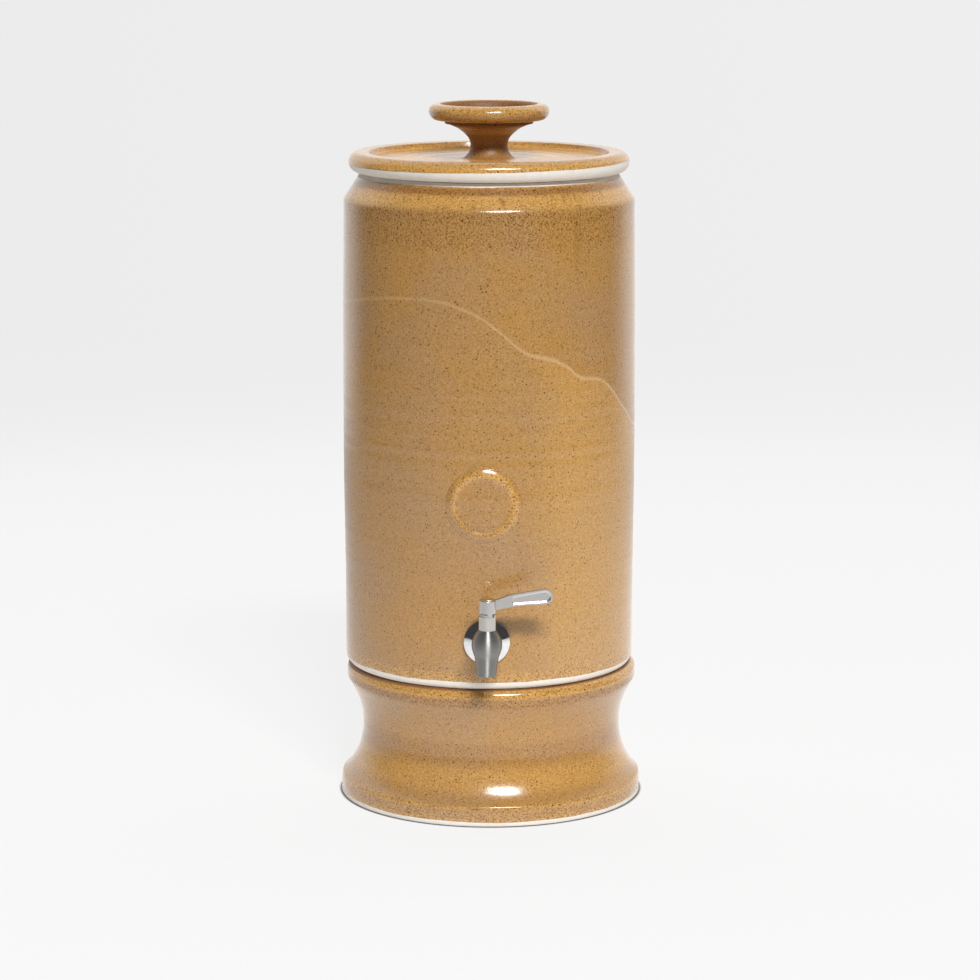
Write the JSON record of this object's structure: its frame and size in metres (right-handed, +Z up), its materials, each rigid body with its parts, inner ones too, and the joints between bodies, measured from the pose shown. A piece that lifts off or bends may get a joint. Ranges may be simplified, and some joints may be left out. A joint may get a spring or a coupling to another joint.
{
  "type": "gravity water filter with tap",
  "caption": "Tall stoneware crock on a flared ring stand, with an inner filter bowl and candle, a dished lid with a ring knob, and a steel quarter-turn tap.",
  "frame": {"origin": "centre of the stand's foot ring, on the surface it stands on", "axes": "+Z up along the vessel's axis; the tap faces -Y and its shut lever points to +X"},
  "size_m": [0.2488, 0.2834, 0.565],
  "materials": {
    "glazed_stoneware": "glossy ochre glaze with fine iron speckle over off-white clay, bare at foot, rim and lid edge",
    "white_glaze": "plain pale glaze inside",
    "candle_ceramic": "unglazed fine white filter ceramic",
    "carbon": "pressed black carbon",
    "white_plastic": "moulded, matt",
    "silicone": "soft, translucent grey",
    "brushed_steel": "satin and fine brushed stainless steel",
    "polished_steel": "mirror-polished stainless steel",
    "seat_plastic": "smooth white low-friction plastic"
  },
  "bodies": {
    "stand": {"stand": "glazed_stoneware"},
    "crock": {"crock": "glazed_stoneware", "medallion": "glazed_stoneware", "tap_body": "brushed_steel", "tap_escutcheon": "polished_steel", "tap_outer_washer": "silicone", "tap_inner_washer": "silicone", "tap_backing_washer": "brushed_steel", "tap_clamp_nut": "brushed_steel", "valve_seat": "seat_plastic"},
    "lever": {"tap_lever": "brushed_steel", "lever_screw": "brushed_steel", "lever_cap": "brushed_steel", "valve_plug": "brushed_steel", "stem_o_rings": "silicone"},
    "reservoir": {"upper_reservoir": "white_glaze", "candle_dome": "candle_ceramic", "carbon_core": "carbon", "candle_base": "white_plastic", "candle_washer": "silicone", "stem_washer": "silicone", "wing_nut": "white_plastic"},
    "lid": {"lid": "glazed_stoneware"}
  },
  "joints": [
    {"name": "crock_lift", "type": "slide", "parent": "stand", "child": "crock", "axis": [0, 0, 1], "range_m": [0, 0.06]},
    {"name": "lever_turn", "type": "hinge", "parent": "crock", "child": "lever", "pos_m": [-0.0017, -0.147, 0.15], "axis": [0.0175, 0, 0.9998], "range_deg": [-90, 0]},
    {"name": "reservoir_lift", "type": "slide", "parent": "crock", "child": "reservoir", "axis": [0, 0, 1], "range_m": [0, 0.3]},
    {"name": "lid_lift", "type": "slide", "parent": "reservoir", "child": "lid", "axis": [0, 0, 1], "range_m": [0, 0.1]}
  ]
}
